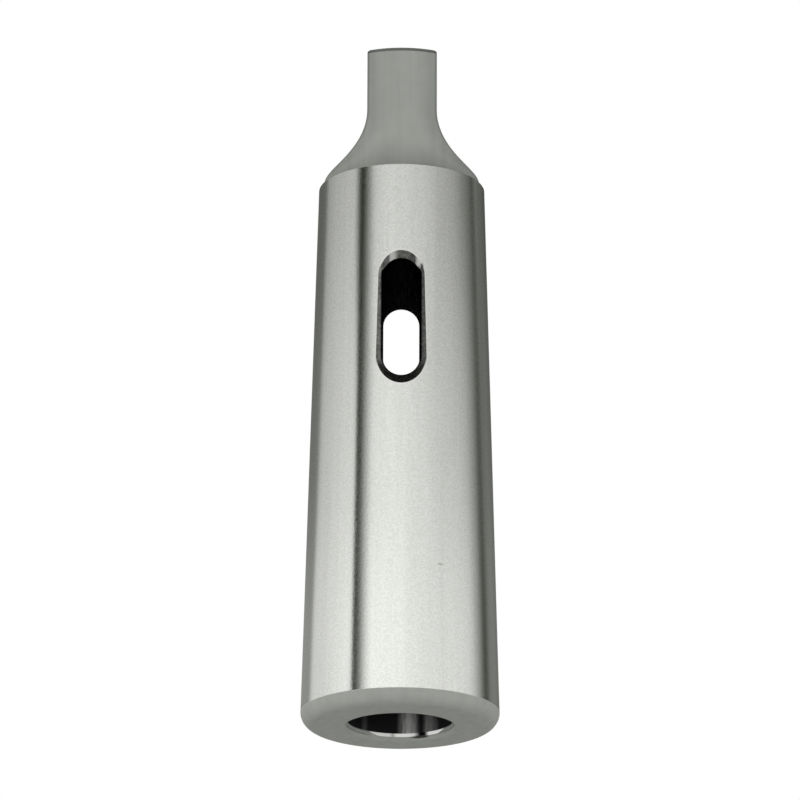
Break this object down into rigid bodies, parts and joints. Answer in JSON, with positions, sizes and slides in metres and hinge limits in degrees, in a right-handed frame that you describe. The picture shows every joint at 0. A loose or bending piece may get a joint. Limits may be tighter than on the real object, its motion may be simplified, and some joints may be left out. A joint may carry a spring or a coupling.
{
  "type": "morse taper sleeve",
  "caption": "Steel reduction sleeve with a ground outside taper, a smaller tapered socket, a through slot for the ejector drift and a flat tang.",
  "frame": {"origin": "centre of the big end's face, where the socket opens; the sleeve stands on this face", "axes": "+Z along the taper axis from the big end to the tang, the ejector slot runs through along Y, the tang's flats face +X and -X"},
  "size_m": [0.0446, 0.0446, 0.156],
  "materials": {
    "steel": "ground bright on the outside taper, plain grey turned and milled faces on the tang and the big end"
  },
  "bodies": {
    "root": {"sleeve": "steel"}
  },
  "joints": []
}
